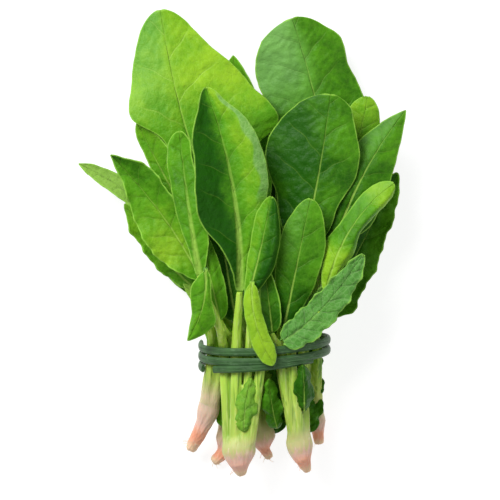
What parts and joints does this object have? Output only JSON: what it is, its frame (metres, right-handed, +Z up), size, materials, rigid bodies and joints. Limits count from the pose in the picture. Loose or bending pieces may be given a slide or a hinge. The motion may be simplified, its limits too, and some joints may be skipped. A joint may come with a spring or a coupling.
{
  "type": "spinach bunch",
  "caption": "Fresh spinach plants with pink roots, lying down and tied round their stalks with a green strand.",
  "frame": {"origin": "middle of the bunch's bounding box, on the surface that it lies on", "axes": "+Y from the roots to the leaf tips, +X to the right seen from above, +Z up"},
  "size_m": [0.2104, 0.2986, 0.0748],
  "materials": {
    "leaf_dark": "waxy, a soft sheen",
    "leaf_mid": "waxy, a soft sheen",
    "leaf_light": "waxy, a soft sheen",
    "leaf_pale": "matt leaf underside",
    "stalk": "smooth and moist",
    "crown": "matt root skin",
    "tie": "smooth, lightly ribbed"
  },
  "bodies": {
    "root": {"leaf_under_left": "leaf_dark", "leaf_under_middle": "leaf_dark", "leaf_under_right": "leaf_dark", "leaf_far_right": "leaf_dark", "leaf_far_left": "leaf_mid", "leaf_middle_peak": "leaf_mid", "leaf_pale_point": "leaf_pale", "leaf_top_right": "leaf_dark", "leaf_right_light": "leaf_light", "leaf_left_frill": "leaf_light", "leaf_left_scrap": "leaf_pale", "leaf_left_sliver": "leaf_mid", "leaf_right_curl": "leaf_dark", "leaf_core_right": "leaf_dark", "leaf_right_point": "leaf_dark", "leaf_top_left": "leaf_light", "leaf_middle_right": "leaf_dark", "leaf_left_point": "leaf_mid", "leaf_right_fold": "leaf_pale", "leaf_right_roll": "leaf_light", "leaf_core_left": "leaf_dark", "leaf_left_drop": "leaf_mid", "leaf_left_blade": "leaf_mid", "leaf_low_oval": "leaf_dark", "leaf_low_slip": "leaf_dark", "leaf_left_curl": "leaf_mid", "leaf_tall_fold": "leaf_mid", "leaf_hanging_tongue": "leaf_light", "leaf_middle_cup": "leaf_mid", "leaf_inner_front": "leaf_light", "leaf_inner_middle": "leaf_dark", "leaf_inner_right": "leaf_dark", "stalks_rear_left": "stalk", "root_rear_left": "crown", "stalks_rear_middle": "stalk", "root_rear_middle": "crown", "stalks_rear_right": "stalk", "root_rear_right": "crown", "stalks_left": "stalk", "root_left": "crown", "stalks_right": "stalk", "root_right": "crown", "stalks_front": "stalk", "root_front": "crown", "tie": "tie"}
  },
  "joints": []
}
